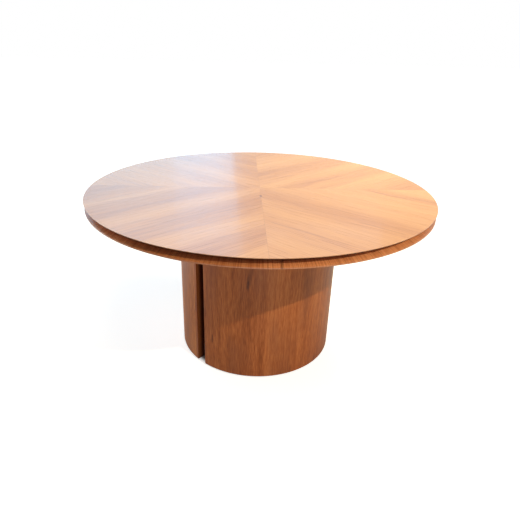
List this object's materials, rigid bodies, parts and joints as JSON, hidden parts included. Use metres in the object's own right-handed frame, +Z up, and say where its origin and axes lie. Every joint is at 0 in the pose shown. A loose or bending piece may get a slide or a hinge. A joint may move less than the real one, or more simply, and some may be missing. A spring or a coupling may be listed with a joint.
{
  "type": "tilt top table",
  "caption": "Large round pedestal table with a cross-veneered top over a split drum base; the top tilts upright on hinges.",
  "frame": {"origin": "on the floor, on the drum's axis", "axes": "+Z up; -Y to the front edge, which rises when the top tilts; +X to the right"},
  "size_m": [1.45, 1.45, 0.74],
  "materials": {
    "face_veneer": "satin lacquer",
    "edge_wood": "satin lacquer",
    "drum_veneer": "satin lacquer",
    "drum_lipping": "satin lacquer",
    "core_board": "sawn",
    "back_veneer": "matt lacquer",
    "shell_board": "black stained",
    "inner_board": "black stained",
    "beech": "oiled",
    "hinge_steel": "satin",
    "catch_brass": "aged",
    "screw_steel": "zinc plated",
    "felt": "felt",
    "buffer_rubber": "matt",
    "glide_nylon": "matt"
  },
  "bodies": {
    "base": {"bottom_plate": "inner_board", "top_plate": "inner_board", "hinge_rail": "beech", "rest_pads": "felt", "keeper_plate": "catch_brass", "keeper_screws": "screw_steel", "glide_inserts": "hinge_steel", "leaf_screws": "screw_steel", "rail_screws": "screw_steel", "top_plate_screws": "screw_steel", "bottom_plate_screws": "screw_steel", "rear_shell": "shell_board", "rear_shell_veneer": "drum_veneer", "rear_shell_lippings": "drum_lipping", "rear_lower_former": "inner_board", "rear_middle_former": "inner_board", "rear_upper_former": "inner_board", "front_shell": "shell_board", "front_shell_veneer": "drum_veneer", "front_shell_lippings": "drum_lipping", "front_lower_former": "inner_board", "front_middle_former": "inner_board", "front_upper_former": "inner_board", "fixed_leaf_left": "hinge_steel", "hinge_pin_left": "hinge_steel", "fixed_leaf_right": "hinge_steel", "hinge_pin_right": "hinge_steel"},
    "top": {"top_core": "core_board", "back_veneer": "back_veneer", "catch_housing": "catch_brass", "tilt_buffers": "buffer_rubber", "batten_screws": "screw_steel", "strap_screws": "screw_steel", "catch_screws": "screw_steel", "face_veneer_1": "face_veneer", "face_veneer_2": "face_veneer", "face_veneer_3": "face_veneer", "face_veneer_4": "face_veneer", "edge_moulding_1": "edge_wood", "edge_moulding_2": "edge_wood", "edge_moulding_3": "edge_wood", "edge_moulding_4": "edge_wood", "edge_moulding_5": "edge_wood", "edge_moulding_6": "edge_wood", "edge_moulding_7": "edge_wood", "edge_moulding_8": "edge_wood", "batten_left": "beech", "hinge_strap_left": "hinge_steel", "batten_right": "beech", "hinge_strap_right": "hinge_steel"},
    "catch": {"catch_bolt": "catch_brass", "catch_knob": "catch_brass"},
    "glide_1": {"glide_stem_1": "screw_steel", "glide_foot_1": "glide_nylon"},
    "glide_2": {"glide_stem_2": "screw_steel", "glide_foot_2": "glide_nylon"},
    "glide_3": {"glide_stem_3": "screw_steel", "glide_foot_3": "glide_nylon"},
    "glide_4": {"glide_stem_4": "screw_steel", "glide_foot_4": "glide_nylon"}
  },
  "joints": [
    {"name": "top_tilt", "type": "hinge", "parent": "base", "child": "top", "pos_m": [0, 0.358, 0.696], "axis": [-1, 0, 0], "range_deg": [0, 90]},
    {"name": "catch_slide", "type": "slide", "parent": "top", "child": "catch", "axis": [0, 1, 0], "range_m": [0, 0.018]},
    {"name": "glide_1_height", "type": "slide", "parent": "base", "child": "glide_1", "axis": [0, 0, -1], "range_m": [0, 0.015]},
    {"name": "glide_2_height", "type": "slide", "parent": "base", "child": "glide_2", "axis": [0, 0, -1], "range_m": [0, 0.015]},
    {"name": "glide_3_height", "type": "slide", "parent": "base", "child": "glide_3", "axis": [0, 0, -1], "range_m": [0, 0.015]},
    {"name": "glide_4_height", "type": "slide", "parent": "base", "child": "glide_4", "axis": [0, 0, -1], "range_m": [0, 0.015]}
  ]
}
